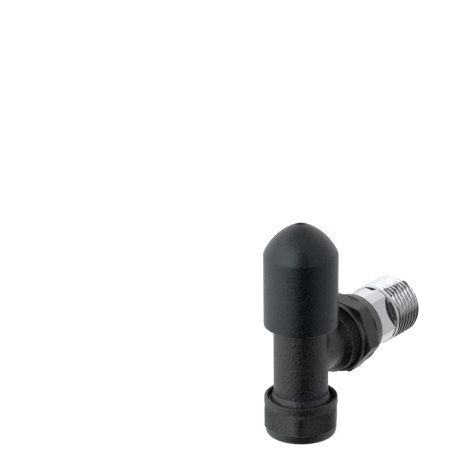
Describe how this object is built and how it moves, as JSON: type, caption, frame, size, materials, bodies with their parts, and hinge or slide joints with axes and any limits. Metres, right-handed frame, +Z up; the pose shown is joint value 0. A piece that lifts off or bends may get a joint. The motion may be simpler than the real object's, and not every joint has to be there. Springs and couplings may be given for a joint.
{
  "type": "lockshield radiator valve",
  "caption": "Angled lockshield valve with a domed push-on cap, a compression inlet for a 15 mm tube and a half-inch tail held by a union nut.",
  "frame": {"origin": "centre of the pipe inlet's mouth, on the lower face of the compression nut", "axes": "+Z up the valve's axis to the tip of its cap, +X along the tail to the radiator"},
  "size_m": [0.069, 0.027, 0.0741],
  "materials": {
    "body_coat": "anthracite powder coat, fine orange peel, satin",
    "nut_coat": "anthracite powder coat, smooth satin",
    "cap_shell": "anthracite, finely textured satin",
    "chrome_plate": "bright chrome plate on brass",
    "brass": "turned, bare",
    "fibre": "red vulcanised fibre",
    "ptfe": "white, waxy",
    "rubber": "black moulded rubber",
    "spring_steel": "drawn spring wire"
  },
  "bodies": {
    "root": {"valve_body": "body_coat", "bonnet": "brass", "bonnet_gasket": "fibre", "gland_washer": "brass", "gland_packing": "ptfe", "gland_nut": "brass", "cap_grip_ring": "rubber"},
    "spindle": {"spindle": "brass", "spindle_ring_lower": "rubber", "spindle_ring_upper": "rubber", "thrust_washer": "ptfe"},
    "plug": {"valve_plug": "brass", "seat_washer": "rubber", "washer_plate": "brass", "washer_screw": "brass"},
    "cap": {"lockshield_cap": "cap_shell"},
    "olive": {"olive": "brass"},
    "compression_nut": {"compression_nut": "nut_coat"},
    "tail": {"tail_piece": "chrome_plate", "tail_ring": "rubber", "union_split_ring": "spring_steel"},
    "union_nut": {"union_nut": "nut_coat"}
  },
  "joints": [
    {"name": "cap_lift", "type": "slide", "parent": "root", "child": "cap", "axis": [0, 0, 1], "range_m": [0, 0.032]},
    {"name": "spindle_turn", "type": "hinge", "parent": "root", "child": "spindle", "pos_m": [0, 0, 0.05], "axis": [0, 0, 1], "range_deg": [0, 1201]},
    {"name": "plug_travel", "type": "slide", "parent": "root", "child": "plug", "axis": [0, 0, 1], "range_m": [0, 0.005]},
    {"name": "olive_slide", "type": "slide", "parent": "root", "child": "olive", "axis": [0, 0, -1], "range_m": [0, 0.00726]},
    {"name": "compression_nut_turn", "type": "hinge", "parent": "olive", "child": "compression_nut", "pos_m": [0, 0, 0.006], "axis": [0, 0, -1], "range_deg": [0, 1441]},
    {"name": "tail_slide", "type": "slide", "parent": "root", "child": "tail", "axis": [1, 0, 0], "range_m": [0, 0.0075]},
    {"name": "union_nut_turn", "type": "hinge", "parent": "tail", "child": "union_nut", "pos_m": [0.025, 0, 0.0275], "axis": [1, 0, 0], "range_deg": [0, 1801]}
  ],
  "couplings": [
    {"joint": "spindle_turn", "follows": "plug_travel", "rad_per_m": 4188.8},
    {"joint": "compression_nut_turn", "follows": "olive_slide", "rad_per_m": 3463.7},
    {"joint": "union_nut_turn", "follows": "tail_slide", "rad_per_m": 4188.8}
  ]
}
